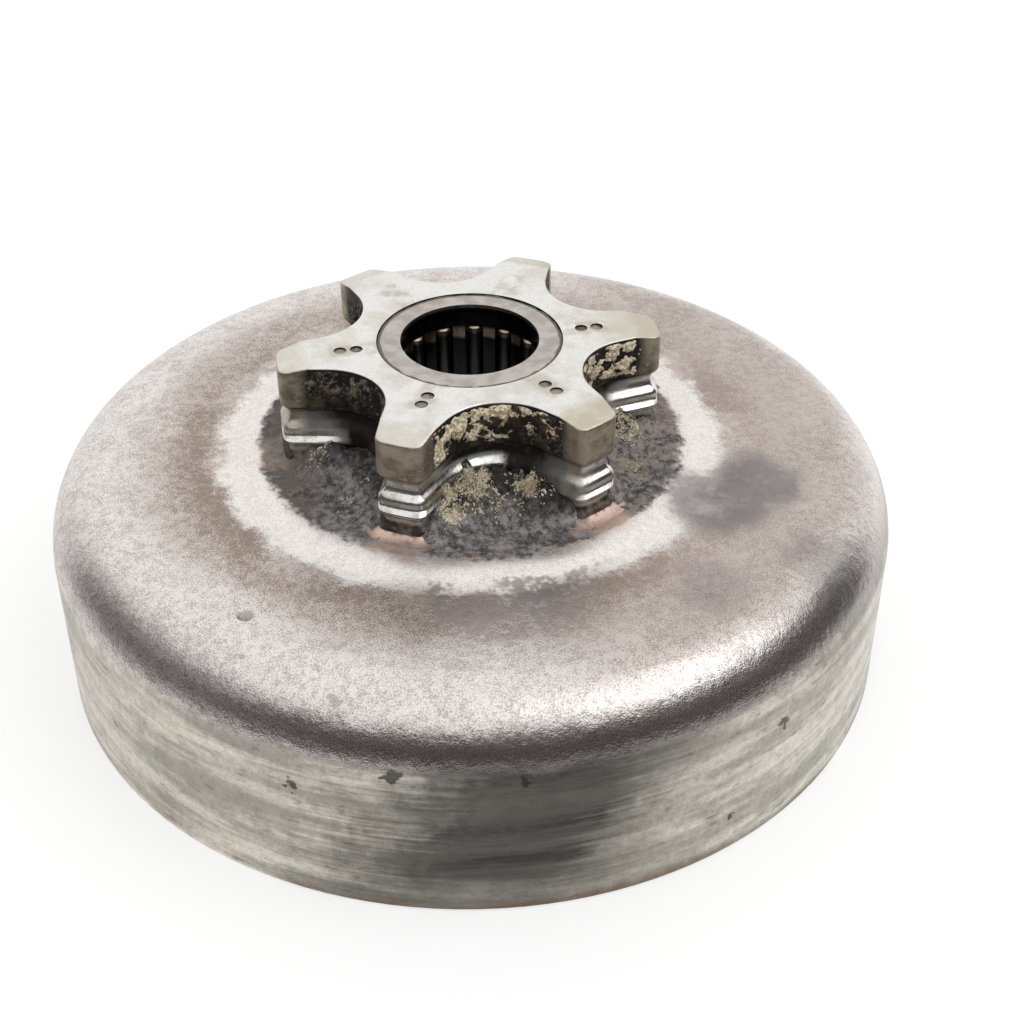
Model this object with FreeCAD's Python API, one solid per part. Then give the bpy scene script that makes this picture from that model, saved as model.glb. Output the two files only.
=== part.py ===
# Chainsaw clutch drum: a pressed steel cup, a spur sprocket brazed on its closed end, and a
# caged needle bearing pressed into the sprocket.
# Millimetres. +Z runs up the axis, from the open rim to the sprocket. The origin is on the
# axis in the plane of the rim, and the first tooth points along +X.
import FreeCAD, Part
import math
import os
from FreeCAD import Rotation, Vector

# Needle bearing, from the shaft outwards: rollers, their cage, and a drawn cup with two lips
SHAFT_RADIUS = 6.35           # crankshaft journal that runs on the needles
NEEDLES = 14
NEEDLE_RADIUS = 0.79
NEEDLE_END_ROUND = 0.35       # soft edge at both ends of a needle
RACEWAY_CLEARANCE = 0.03      # needle to raceway
POCKET_CLEARANCE = 0.1        # needle to each side of its window in the cage
CAGE_SHAFT_GAP = 0.27         # cage to shaft
CAGE_RACEWAY_GAP = 0.2        # cage to raceway
CAGE_LIP_GAP = 0.15           # cage to each lip
CAGE_END_RING = 1.4           # closed ring at each end of the cage
CUP_WALL = 0.77
CUP_CORNER = 0.7              # drawn corner between cup wall and lip
LIP_SHAFT_GAP = 0.15          # lip to shaft

# Sprocket: one piece with a spigot that centres it in the drum
TEETH = 6
ROOT_WALL = 2.67              # steel left between the bore and the bottom of a gap
TOOTH_DEPTH = 6.7             # bottom of a gap to a tip
TIP_HALF_WIDTH = 2.15         # half of a tooth's width at its tip
FLANK_ANGLE = 11.0            # degrees that a flank leans from the tooth's middle line
TIP_CORNER = 1.0              # rounding of a tip's two corners
SPROCKET_HEIGHT = 10.5        # boss to the top face
BEVEL_WIDTH = 2.6             # outer stretch of the top face, which falls to the tips
BEVEL_DROP = 0.6              # how far it has fallen at the tips
EDGE_ROUND = 0.3              # softened edge around the top face
SPIGOT_STEP = 0.4             # how far the spigot is set in from the bottom of a gap
BRAZE_GAP = 0.05              # radial room between spigot and drum for the molten copper
MARKED_TEETH = (0, 3, 4, 5)   # teeth with a pair of punched marks on top
MARK_RADIUS = 0.6
MARK_PITCH = 1.5              # distance between the two marks of a pair
MARK_DEPTH = 0.2

# Wear: the chain's side links have cut two grooves around the teeth, heights above the boss
LOWER_GROOVE_HEIGHT = 1.5
LOWER_GROOVE_RADIUS = 0.8
LOWER_GROOVE_DEPTH = 0.5
UPPER_GROOVE_HEIGHT = 5.1
UPPER_GROOVE_RADIUS = 1.1
UPPER_GROOVE_DEPTH = 0.75
GROOVE_LIP = 0.8              # rounding where a groove runs out into the side of a tooth
LIP_PROUD = 0.03              # how far that rounding would stand out past the side

# Braze: the copper fillet around the sprocket's foot
BRAZE_WIDTH = 1.2
BRAZE_HEIGHT = 0.45
BRAZE_TOE = 0.05              # thickness left at its outer edge

# Drum: one pressed cup of even sheet
DRUM_RADIUS = 40.75           # outside of the wall
SHEET = 2.2                   # wall and face thickness
FACE_HEIGHT = 21.3            # rim to the outer ring of the closed face
SHOULDER_RADIUS = 6.7         # outer bend between face and wall
BOSS_MARGIN = 2.2             # flat ring left around the tips on the raised middle
BOSS_RISE = 0.8               # how far the middle stands above the outer ring
BOSS_BLEND = 4.0              # radial width of the soft step around it
RIM_ROUND = 0.4               # rounding of the rim's two edges
DENT_WIDTH = 1.6              # a knock on the face
DENT_DEPTH = 0.25
DENT_CIRCLE = 32.7            # its distance from the axis
DENT_ANGLE = 224.7

# Sizes that follow from the ones above
RACEWAY_RADIUS = SHAFT_RADIUS + 2 * NEEDLE_RADIUS + RACEWAY_CLEARANCE
CUP_RADIUS = RACEWAY_RADIUS + CUP_WALL
LIP_RADIUS = SHAFT_RADIUS + LIP_SHAFT_GAP
NEEDLE_CIRCLE = SHAFT_RADIUS + NEEDLE_RADIUS
CAGE_INNER_RADIUS = SHAFT_RADIUS + CAGE_SHAFT_GAP
CAGE_OUTER_RADIUS = RACEWAY_RADIUS - CAGE_RACEWAY_GAP
BEARING_LENGTH = SPROCKET_HEIGHT + SHEET
CAGE_LENGTH = BEARING_LENGTH - 2 * (CUP_WALL + CAGE_LIP_GAP)
WINDOW_LENGTH = CAGE_LENGTH - 2 * CAGE_END_RING
NEEDLE_LENGTH = WINDOW_LENGTH - 2 * POCKET_CLEARANCE
ROOT_RADIUS = CUP_RADIUS + ROOT_WALL
TIP_RADIUS = ROOT_RADIUS + TOOTH_DEPTH
SPIGOT_RADIUS = ROOT_RADIUS - SPIGOT_STEP
TOOTH_STEP = 360 / TEETH
BOSS_RADIUS = TIP_RADIUS + BOSS_MARGIN
BOSS_HEIGHT = FACE_HEIGHT + BOSS_RISE
TOP_HEIGHT = BOSS_HEIGHT + SPROCKET_HEIGHT
BEARING_BASE = BOSS_HEIGHT - SHEET
BEARING_MIDDLE = BEARING_BASE + BEARING_LENGTH / 2

ORIGIN = Vector(0, 0, 0)
AXIS = Vector(0, 0, 1)


# Drawing helpers
def on_meridian(radius, height):
    """A point of a turned profile."""
    return Vector(radius, 0, height)


def around(centre, radius, degrees):
    """A point of a turned profile on a circle, with the angle counted from outwards to up."""
    turn = math.radians(degrees)
    return centre + Vector(radius * math.cos(turn), 0, radius * math.sin(turn))


def polar(radius, degrees, height=0.0):
    """A point at a radius and an angle about the axis."""
    turn = math.radians(degrees)
    return Vector(radius * math.cos(turn), radius * math.sin(turn), height)


def line(start, end):
    return Part.LineSegment(start, end).toShape()


def arc(start, middle, end):
    return Part.Arc(start, middle, end).toShape()


def meridian_arc(centre, radius, from_degrees, to_degrees):
    """An arc of a turned profile about its own centre."""
    middle = (from_degrees + to_degrees) / 2
    return arc(
        around(centre, radius, from_degrees),
        around(centre, radius, middle),
        around(centre, radius, to_degrees),
    )


def turned(edges):
    """The solid that a closed profile sweeps in a full turn about the axis."""
    face = Part.Face(Part.Wire(edges))
    return face.revolve(ORIGIN, AXIS, 360)


def swept(section, path):
    """The solid that a closed section sweeps along a closed flat path."""
    sweep = Part.BRepOffsetAPI.MakePipeShell(path)
    sweep.setBiNormalMode(AXIS)
    sweep.add(section)
    sweep.build()
    sweep.makeSolid()
    return sweep.shape()


# Drum
def press_line(inset):
    """One surface of the pressed sheet from the centre hole to the wall, set in from the outside."""
    boss_arc = (BOSS_BLEND ** 2 + BOSS_RISE ** 2) / (4 * BOSS_RISE)
    lean = math.degrees(math.asin(BOSS_BLEND / 2 / boss_arc))
    crown = on_meridian(BOSS_RADIUS, BOSS_HEIGHT - boss_arc)
    trough = on_meridian(BOSS_RADIUS + BOSS_BLEND, FACE_HEIGHT + boss_arc)
    bend = on_meridian(DRUM_RADIUS - SHOULDER_RADIUS, FACE_HEIGHT - SHOULDER_RADIUS)
    hole = on_meridian(SPIGOT_RADIUS + BRAZE_GAP, BOSS_HEIGHT - inset)
    return [
        line(hole, around(crown, boss_arc - inset, 90)),
        meridian_arc(crown, boss_arc - inset, 90, 90 - lean),
        meridian_arc(trough, boss_arc + inset, -90 - lean, -90),
        line(around(trough, boss_arc + inset, -90), around(bend, SHOULDER_RADIUS - inset, 90)),
        meridian_arc(bend, SHOULDER_RADIUS - inset, 90, 0),
        line(around(bend, SHOULDER_RADIUS - inset, 0), on_meridian(DRUM_RADIUS - inset, RIM_ROUND)),
    ]


def rim_line():
    """The rounded edge of the rim, from the outside of the wall to the inside."""
    outer = on_meridian(DRUM_RADIUS - RIM_ROUND, RIM_ROUND)
    inner = on_meridian(DRUM_RADIUS - SHEET + RIM_ROUND, RIM_ROUND)
    return [
        meridian_arc(outer, RIM_ROUND, 0, -90),
        line(around(outer, RIM_ROUND, -90), around(inner, RIM_ROUND, -90)),
        meridian_arc(inner, RIM_ROUND, -90, -180),
    ]


def make_drum():
    outside = press_line(0)
    inside = press_line(SHEET)
    hole_radius = SPIGOT_RADIUS + BRAZE_GAP
    hole_wall = line(
        on_meridian(hole_radius, BOSS_HEIGHT - SHEET), on_meridian(hole_radius, BOSS_HEIGHT)
    )
    drum = turned(outside + rim_line() + inside[::-1] + [hole_wall])
    ball_radius = (DENT_WIDTH ** 2 / 4 + DENT_DEPTH ** 2) / (2 * DENT_DEPTH)
    knock = polar(DENT_CIRCLE, DENT_ANGLE, FACE_HEIGHT - DENT_DEPTH + ball_radius)
    return drum.cut(Part.makeSphere(ball_radius, knock))


# Sprocket
def tooth_points(grow):
    """Corner points and arc middles of half a tooth, from tip to gap, grown outwards."""
    lean = math.radians(FLANK_ANGLE)
    normal = Vector(math.sin(lean), math.cos(lean), 0)
    along = Vector(math.cos(lean), -math.sin(lean), 0)
    tip_depth = math.sqrt(TIP_RADIUS ** 2 - TIP_HALF_WIDTH ** 2)
    reach = tip_depth * normal.x + TIP_HALF_WIDTH * normal.y
    gap_angle = math.radians(TOOTH_STEP / 2)
    gap_far = (ROOT_RADIUS - reach) / (1 - math.sin(gap_angle + lean))
    gap_centre = Vector(gap_far * math.cos(gap_angle), gap_far * math.sin(gap_angle), 0)
    gap_radius = gap_far - ROOT_RADIUS - grow
    slide = math.sqrt((TIP_RADIUS - TIP_CORNER) ** 2 - (reach - TIP_CORNER) ** 2)
    corner_centre = normal * (reach - TIP_CORNER) + along * slide
    outwards = Vector(corner_centre).normalize()
    between = (outwards + normal).normalize()
    corner_radius = TIP_CORNER + grow
    return {
        "tip_middle": Vector(TIP_RADIUS + grow, 0, 0),
        "tip_quarter": polar(TIP_RADIUS + grow, math.degrees(math.atan2(outwards.y, outwards.x)) / 2),
        "corner_start": corner_centre + outwards * corner_radius,
        "corner_middle": corner_centre + between * corner_radius,
        "corner_end": corner_centre + normal * corner_radius,
        "flank_end": gap_centre - normal * gap_radius,
        "gap_middle": polar(ROOT_RADIUS + grow, TOOTH_STEP / 2),
    }


def sprocket_outline(grow, height):
    """The closed outline of the teeth at a height, from the middle of the first tip round."""
    half = tooth_points(grow)

    def placed(name, tooth, mirrored=False):
        point = half[name]
        side = -1 if mirrored else 1
        flat = Vector(point.x, side * point.y, height)
        return Rotation(AXIS, tooth * TOOTH_STEP).multVec(flat)

    edges = []
    for tooth in range(TEETH):
        following = tooth + 1
        edges += [
            arc(placed("tip_middle", tooth), placed("tip_quarter", tooth), placed("corner_start", tooth)),
            arc(placed("corner_start", tooth), placed("corner_middle", tooth), placed("corner_end", tooth)),
            line(placed("corner_end", tooth), placed("flank_end", tooth)),
            arc(
                placed("flank_end", tooth),
                placed("gap_middle", tooth),
                placed("flank_end", following, True),
            ),
            line(placed("flank_end", following, True), placed("corner_end", following, True)),
            arc(
                placed("corner_end", following, True),
                placed("corner_middle", following, True),
                placed("corner_start", following, True),
            ),
            arc(
                placed("corner_start", following, True),
                placed("tip_quarter", following, True),
                placed("tip_middle", following),
            ),
        ]
    return Part.Wire(edges)


def bevel_cutter():
    """The ring that takes the top face down towards the tips."""
    inner = TIP_RADIUS - BEVEL_WIDTH
    outer = TIP_RADIUS + BEVEL_WIDTH
    start = on_meridian(inner, TOP_HEIGHT)
    low = on_meridian(outer, TOP_HEIGHT - 2 * BEVEL_DROP)
    high = on_meridian(outer, TOP_HEIGHT + BEVEL_DROP)
    over = on_meridian(inner, TOP_HEIGHT + BEVEL_DROP)
    return turned([line(start, low), line(low, high), line(high, over), line(over, start)])


def wear_cutter(height, radius, depth):
    """The groove that one row of side links has worn along the whole outline, with rounded lips."""
    level = BOSS_HEIGHT + height
    hollow = on_meridian(TIP_RADIUS + radius - depth, level)
    lip_out = TIP_RADIUS + LIP_PROUD - GROOVE_LIP
    reach = radius + GROOVE_LIP
    rise = math.sqrt(reach ** 2 - (hollow.x - lip_out) ** 2)
    steep = math.degrees(math.atan2(rise, hollow.x - lip_out))
    upper = on_meridian(lip_out, level + rise)
    lower = on_meridian(lip_out, level - rise)
    upper_out = around(upper, GROOVE_LIP, 0)
    lower_out = around(lower, GROOVE_LIP, 0)
    run_out = Vector(radius, 0, 0)
    section = Part.Wire([
        meridian_arc(upper, GROOVE_LIP, 0, -steep),
        meridian_arc(hollow, radius, 180 - steep, 180 + steep),
        meridian_arc(lower, GROOVE_LIP, steep, 0),
        line(lower_out, lower_out + run_out),
        line(lower_out + run_out, upper_out + run_out),
        line(upper_out + run_out, upper_out),
    ])
    return swept(section, sprocket_outline(0, level))


def punched_marks():
    """Pairs of round marks on the tops of some teeth, one above the other along the tooth."""
    marks = []
    for tooth in MARKED_TEETH:
        for radius in (ROOT_RADIUS - MARK_PITCH / 2, ROOT_RADIUS + MARK_PITCH / 2):
            floor = polar(radius, tooth * TOOTH_STEP, TOP_HEIGHT - MARK_DEPTH)
            marks.append(Part.makeCylinder(MARK_RADIUS, MARK_DEPTH, floor, AXIS))
    return marks


def soften_top(teeth):
    """Rounds the edge where the sides of the teeth meet the top face and its bevel."""
    ridge = TIP_RADIUS - BEVEL_WIDTH
    lowest = TOP_HEIGHT - 2 * BEVEL_DROP

    def on_outline(edge):
        ends = [math.hypot(vertex.X, vertex.Y) for vertex in edge.Vertexes]
        along_ridge = max(abs(end - ridge) for end in ends) < EDGE_ROUND / 2
        return edge.BoundBox.ZMin > lowest and not along_ridge

    return teeth.makeFillet(EDGE_ROUND, [edge for edge in teeth.Edges if on_outline(edge)])


def make_sprocket():
    foot = Part.Face(sprocket_outline(0, BOSS_HEIGHT))
    teeth = foot.extrude(AXIS * SPROCKET_HEIGHT)
    spigot = Part.makeCylinder(SPIGOT_RADIUS, SHEET, Vector(0, 0, BEARING_BASE), AXIS)
    bore = Part.makeCylinder(CUP_RADIUS, BEARING_LENGTH, Vector(0, 0, BEARING_BASE), AXIS)
    grooves = [
        wear_cutter(LOWER_GROOVE_HEIGHT, LOWER_GROOVE_RADIUS, LOWER_GROOVE_DEPTH),
        wear_cutter(UPPER_GROOVE_HEIGHT, UPPER_GROOVE_RADIUS, UPPER_GROOVE_DEPTH),
    ]
    beveled = soften_top(teeth.cut(bevel_cutter()))
    worn = beveled.fuse(spigot).cut([bore] + grooves)
    return worn.cut(punched_marks()).removeSplitter()


# Braze
def make_braze():
    """The hollow copper fillet between the sprocket's foot and the boss, level where it runs out."""
    climb = BRAZE_HEIGHT - BRAZE_TOE
    hollow_radius = (BRAZE_WIDTH ** 2 + climb ** 2) / (2 * climb)
    lean = math.degrees(math.asin(BRAZE_WIDTH / hollow_radius))
    corner = on_meridian(TIP_RADIUS, BOSS_HEIGHT)
    toe = on_meridian(TIP_RADIUS + BRAZE_WIDTH, BOSS_HEIGHT)
    toe_top = toe + AXIS * BRAZE_TOE
    hollow = meridian_arc(toe_top + AXIS * hollow_radius, hollow_radius, -90, -90 - lean)
    top = corner + AXIS * BRAZE_HEIGHT
    section = Part.Wire([line(corner, toe), line(toe, toe_top), hollow, line(top, corner)])
    return swept(section, sprocket_outline(0, BOSS_HEIGHT))


# Needle bearing
def make_bearing_cup():
    """The drawn cup: a thin outer ring with a lip turned in at each end."""
    base = BEARING_BASE
    top = BEARING_BASE + BEARING_LENGTH
    low_corner = on_meridian(CUP_RADIUS - CUP_CORNER, base + CUP_CORNER)
    high_corner = on_meridian(CUP_RADIUS - CUP_CORNER, top - CUP_CORNER)
    low_lip = on_meridian(LIP_RADIUS, base)
    low_inside = on_meridian(LIP_RADIUS, base + CUP_WALL)
    low_race = on_meridian(RACEWAY_RADIUS, base + CUP_WALL)
    high_race = on_meridian(RACEWAY_RADIUS, top - CUP_WALL)
    high_inside = on_meridian(LIP_RADIUS, top - CUP_WALL)
    high_lip = on_meridian(LIP_RADIUS, top)
    return turned([
        line(low_lip, around(low_corner, CUP_CORNER, -90)),
        meridian_arc(low_corner, CUP_CORNER, -90, 0),
        line(around(low_corner, CUP_CORNER, 0), around(high_corner, CUP_CORNER, 0)),
        meridian_arc(high_corner, CUP_CORNER, 0, 90),
        line(around(high_corner, CUP_CORNER, 90), high_lip),
        line(high_lip, high_inside),
        line(high_inside, high_race),
        line(high_race, low_race),
        line(low_race, low_inside),
        line(low_inside, low_lip),
    ])


def make_bearing_cage():
    """The ring that keeps the needles apart, with one window for each of them."""
    base = Vector(0, 0, BEARING_MIDDLE - CAGE_LENGTH / 2)
    ring = Part.makeCylinder(CAGE_OUTER_RADIUS, CAGE_LENGTH, base, AXIS)
    ring = ring.cut(Part.makeCylinder(CAGE_INNER_RADIUS, CAGE_LENGTH, base, AXIS))
    width = 2 * (NEEDLE_RADIUS + POCKET_CLEARANCE)
    depth = 2 * (CAGE_OUTER_RADIUS - CAGE_INNER_RADIUS)
    windows = []
    for needle in range(NEEDLES):
        near = Vector(NEEDLE_CIRCLE - depth / 2, -width / 2, BEARING_MIDDLE - WINDOW_LENGTH / 2)
        window = Part.makeBox(depth, width, WINDOW_LENGTH, near)
        window.rotate(ORIGIN, AXIS, needle * 360 / NEEDLES)
        windows.append(window)
    return ring.cut(windows)


def make_needle(number):
    """One roller with rounded ends, in its place on the needle circle."""
    centre = polar(NEEDLE_CIRCLE, number * 360 / NEEDLES, BEARING_MIDDLE - NEEDLE_LENGTH / 2)
    roller = Part.makeCylinder(NEEDLE_RADIUS, NEEDLE_LENGTH, centre, AXIS)
    rims = [edge for edge in roller.Edges if isinstance(edge.Curve, Part.Circle)]
    return roller.makeFillet(NEEDLE_END_ROUND, rims)


def export(name, shape):
    """Writes one piece as parts/NAME.step and prints what it measures."""
    shape.exportStep(os.path.join("parts", name + ".step"))
    print(name, "valid", shape.isValid(), "solids", len(shape.Solids), "mm3", round(shape.Volume, 2))


def main():
    os.makedirs("parts", exist_ok=True)
    export("drum", make_drum())
    export("sprocket", make_sprocket())
    export("braze_fillet", make_braze())
    export("bearing_cup", make_bearing_cup())
    export("bearing_cage", make_bearing_cage())
    for number in range(NEEDLES):
        export(f"needle_{number + 1:02d}", make_needle(number))


main()
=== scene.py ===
# %% [markdown]
# A worn chainsaw clutch drum.
# The solids already have their true sizes and places: a pressed steel drum, a sprocket brazed
# on top of it, and a needle bearing pressed into the sprocket. This lesson gives them the
# looks of a used part: tarnished steel, polished wear, copper braze and caked sawdust.

# %% Load the solids
import math
import random

import bpy
from mathutils import Euler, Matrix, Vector, noise


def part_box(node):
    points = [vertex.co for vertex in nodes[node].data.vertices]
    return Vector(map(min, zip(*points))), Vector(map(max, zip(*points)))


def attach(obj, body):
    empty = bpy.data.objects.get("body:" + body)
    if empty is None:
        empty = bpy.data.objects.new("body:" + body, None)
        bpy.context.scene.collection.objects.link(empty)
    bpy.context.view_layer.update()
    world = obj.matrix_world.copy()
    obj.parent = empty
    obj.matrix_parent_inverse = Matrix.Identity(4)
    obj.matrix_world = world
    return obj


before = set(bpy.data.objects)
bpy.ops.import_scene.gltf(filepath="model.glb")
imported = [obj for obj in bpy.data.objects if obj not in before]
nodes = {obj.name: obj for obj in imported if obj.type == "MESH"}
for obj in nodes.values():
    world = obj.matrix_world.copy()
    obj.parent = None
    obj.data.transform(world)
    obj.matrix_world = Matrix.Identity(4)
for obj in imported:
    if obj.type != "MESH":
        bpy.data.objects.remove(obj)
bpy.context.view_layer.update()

MM = 0.001
drum_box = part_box("drum")
sprocket_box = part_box("sprocket")
DRUM_RADIUS = drum_box[1].x / MM
BOSS_HEIGHT = drum_box[1].z / MM
TOP_HEIGHT = sprocket_box[1].z / MM
TIP_RADIUS = sprocket_box[1].x / MM
CUP_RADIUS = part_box("bearing_cup")[1].x / MM
TEETH = 6
TOOTH_STEP = 2 * math.pi / TEETH
print("drum radius", round(DRUM_RADIUS, 2), "boss", round(BOSS_HEIGHT, 2), "top", round(TOP_HEIGHT, 2))

# %% [markdown]
# The camera comes first, because every later choice is judged through it. It looks down on
# the part from in front, a little turned, so that two teeth face us. The angle, distance and
# lens were fitted to the outlines of the rim, the face, the bearing and the tooth tips.

# %% Camera
CAMERA_TURN = math.radians(-10.64)
CAMERA_DIP = math.radians(35.96)
CAMERA_FAR = 172.27 * MM
CAMERA_AIM = Vector((3.88, -0.73, 12.57)) * MM
CAMERA_LENS = 60.4

rightwards = Vector((math.cos(CAMERA_TURN), math.sin(CAMERA_TURN), 0))
forwards = Vector((math.sin(CAMERA_TURN), -math.cos(CAMERA_TURN), 0))
towards_viewer = forwards * math.cos(CAMERA_DIP) + Vector((0, 0, math.sin(CAMERA_DIP)))
bpy.ops.object.select_all(action="DESELECT")
bpy.ops.object.camera_add(
    location=CAMERA_AIM + towards_viewer * CAMERA_FAR,
    rotation=(math.pi / 2 - CAMERA_DIP, 0, CAMERA_TURN),
)
camera = bpy.context.object
camera.data.lens = CAMERA_LENS
camera.data.clip_start = MM
bpy.context.scene.camera = camera
bpy.context.scene.view_settings.view_transform = "Standard"
print("camera at", [round(c / MM, 1) for c in camera.location], "mm")

# %% [markdown]
# Node materials are easier to read when each line says what it adds. This small class holds
# one material. Its methods add a node, join it up and hand back the output, so a finish is
# written as a few lines of plain steps. All lengths in it are millimetres of the part itself.

# %% A short way to write node materials
class Finish:
    """One material, with short calls that add a node and give back its output."""

    def __init__(self, name):
        self.material = bpy.data.materials.new(name)
        self.material.use_nodes = True
        self.tree = self.material.node_tree
        self.tree.nodes.clear()
        coordinates = self.add("ShaderNodeTexCoord")
        self.point = self.vector("SCALE", coordinates.outputs["Object"], scale=1 / MM)
        self.x, self.y, self.z = self.add("ShaderNodeSeparateXYZ", {0: self.point}).outputs
        self.up = self.add("ShaderNodeSeparateXYZ", {0: coordinates.outputs["Normal"]}).outputs["Z"]
        flat = self.vector("MULTIPLY", self.point, (1, 1, 0))
        self.radius = self.add("ShaderNodeVectorMath", {0: flat}, operation="LENGTH").outputs["Value"]

    def add(self, kind, inputs=None, **settings):
        """A new node, with a link or a plain value for each of its inputs."""
        node = self.tree.nodes.new(kind)
        for key, value in settings.items():
            setattr(node, key, value)
        for key, value in (inputs or {}).items():
            if isinstance(value, bpy.types.NodeSocket):
                self.tree.links.new(value, node.inputs[key])
            else:
                node.inputs[key].default_value = value
        return node

    def vector(self, operation, first, second=None, scale=None):
        """One step of arithmetic with points or directions."""
        inputs = {0: first}
        if second is not None:
            inputs[1] = second
        if scale is not None:
            inputs["Scale"] = scale
        return self.add("ShaderNodeVectorMath", inputs, operation=operation).outputs["Vector"]

    def sum(self, operation, first, second=0.0, third=0.0, clamp=False):
        """One step of arithmetic with numbers."""
        inputs = {0: first, 1: second, 2: third}
        return self.add("ShaderNodeMath", inputs, operation=operation, use_clamp=clamp).outputs[0]

    def plus(self, first, second):
        """Two numbers added."""
        return self.sum("ADD", first, second)

    def times(self, *masks):
        """Where all of the masks hold."""
        product = masks[0]
        for mask in masks[1:]:
            product = self.sum("MULTIPLY", product, mask)
        return product

    def either(self, *masks):
        """Where the strongest of the masks holds."""
        largest = masks[0]
        for mask in masks[1:]:
            largest = self.sum("MAXIMUM", largest, mask)
        return largest

    def less(self, mask):
        """Where a mask does not hold."""
        return self.sum("SUBTRACT", 1.0, mask, clamp=True)

    def shaken(self, value, by, reach):
        """A value moved up and down by a noise, by up to about half the reach."""
        return self.sum("MULTIPLY_ADD", self.sum("SUBTRACT", by, 0.5), reach, value)

    def along(self, direction):
        """How far a point lies out along a direction."""
        node = self.add("ShaderNodeVectorMath", {0: self.point, 1: direction}, operation="DOT_PRODUCT")
        return node.outputs["Value"]

    def tooth(self):
        """How far a point lies out along its tooth's middle line, and how far beside that line."""
        angle = self.sum("ARCTAN2", self.y, self.x)
        turn = self.sum("WRAP", angle, TOOTH_STEP / 2, -TOOTH_STEP / 2)
        out = self.times(self.radius, self.sum("COSINE", turn))
        beside = self.sum("ABSOLUTE", self.times(self.radius, self.sum("SINE", turn)))
        return out, beside

    def rise(self, value, low, high, start=0.0, end=1.0):
        """Goes smoothly from start to end while the value goes from low to high."""
        node = self.add(
            "ShaderNodeMapRange",
            {"Value": value, "From Min": low, "From Max": high, "To Min": start, "To Max": end},
            interpolation_type="SMOOTHSTEP",
        )
        return node.outputs["Result"]

    def band(self, value, low, high, soft):
        """One between low and high, with soft ends."""
        return self.times(
            self.rise(value, low - soft, low + soft), self.rise(value, high + soft, high - soft)
        )

    def noise(self, size, detail=3.0, rough=0.55, stretch=(1, 1, 1), shift=0.0):
        """Cloudy noise with features of about that size, pulled out by stretch."""
        scaled = self.vector("DIVIDE", self.point, [size * s for s in stretch])
        moved = self.vector("ADD", scaled, (shift, shift, shift))
        inputs = {"Vector": moved, "Scale": 1.0, "Detail": detail, "Roughness": rough}
        return self.add("ShaderNodeTexNoise", inputs).outputs["Fac"]

    def spot(self, centre, size, by=None, reach=0.0):
        """A mark about a point, one in its middle, with an edge that a noise can fray."""
        node = self.add("ShaderNodeVectorMath", {0: self.point, 1: centre}, operation="DISTANCE")
        far = node.outputs["Value"]
        if by is not None:
            far = self.shaken(far, by, reach)
        return self.rise(far, size, size * 0.5)

    def mix(self, share, first, second):
        """A colour that goes from first to second."""
        node = self.add("ShaderNodeMix", {"Factor": share}, data_type="RGBA")
        for key, value in (("A", first), ("B", second)):
            socket = next(s for s in node.inputs if s.name == key and s.type == "RGBA")
            if isinstance(value, bpy.types.NodeSocket):
                self.tree.links.new(value, socket)
            else:
                socket.default_value = (*value, 1.0)
        return next(s for s in node.outputs if s.type == "RGBA")

    def blend(self, share, first, second):
        """A number that goes from first to second."""
        node = self.add("ShaderNodeMix", {"Factor": share, "A": first, "B": second}, data_type="FLOAT")
        return node.outputs[0]

    def bump(self, height, depth, normal=None, strength=1.0):
        """Relief of that depth from a height between zero and one, weaker where strength says so."""
        inputs = {"Height": height, "Distance": depth * MM, "Strength": strength}
        if normal is not None:
            inputs["Normal"] = normal
        return self.add("ShaderNodeBump", inputs).outputs["Normal"]

    def surface(self, **inputs):
        """The finished material, from the shader's inputs by name."""
        named = {}
        for key, value in inputs.items():
            socket_name = key.replace("_", " ").title().replace("Ior", "IOR")
            if socket_name == "Base Color" and not isinstance(value, bpy.types.NodeSocket):
                value = (*value, 1.0)
            named[socket_name] = value
        shader = self.add("ShaderNodeBsdfPrincipled", named)
        out = self.add("ShaderNodeOutputMaterial")
        self.tree.links.new(shader.outputs["BSDF"], out.inputs["Surface"])
        return self.material


def dress(piece, material):
    """The piece shows this material and no other."""
    piece.data.materials.clear()
    piece.data.materials.append(material)


def polar(radius, degrees, height):
    """A place on the part in millimetres, by its distance from the axis, angle and height."""
    turn = math.radians(degrees)
    return Vector((radius * math.cos(turn), radius * math.sin(turn), height))


def delete_points(piece, unwanted):
    """Delete those points of the active object that a test picks out by their place."""
    bpy.ops.object.mode_set(mode="EDIT")
    bpy.ops.mesh.select_all(action="DESELECT")
    bpy.ops.object.mode_set(mode="OBJECT")
    for vertex in piece.data.vertices:
        vertex.select = unwanted(vertex.co)
    bpy.ops.object.mode_set(mode="EDIT")
    bpy.ops.mesh.delete(type="VERT")
    bpy.ops.object.mode_set(mode="OBJECT")


print("the rim a quarter turn round is at", [round(c, 2) for c in polar(DRUM_RADIUS, 90, 0)], "mm")

# %% [markdown]
# A white tent lights the part: a pale floor and a bright sky. The floor could be lit until it
# is white, but that would bleach the steel as well. So the floor and the sky are white only
# for the eye and in reflections, and the light that falls on the part stays plain. The floor
# still keeps the shadow.

# %% Floor and sky
FLOOR_SIZE = 4.0
FLOOR_COLOUR = (0.5, 0.5, 0.5)
FLOOR_GLOW = 0.64
SKY_LEVEL = 0.75

bpy.ops.mesh.primitive_plane_add(size=FLOOR_SIZE)
floor = bpy.context.object
floor.name = "floor"


def seen_directly(tree):
    """One for rays from the camera or off shiny things, zero for the light that falls on things."""
    path = tree.nodes.new("ShaderNodeLightPath")
    seen = path.outputs["Is Camera Ray"]
    for name in ("Is Glossy Ray", "Is Transmission Ray"):
        either = tree.nodes.new("ShaderNodeMath")
        either.operation = "MAXIMUM"
        tree.links.new(seen, either.inputs[0])
        tree.links.new(path.outputs[name], either.inputs[1])
        seen = either.outputs[0]
    return seen


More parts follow.
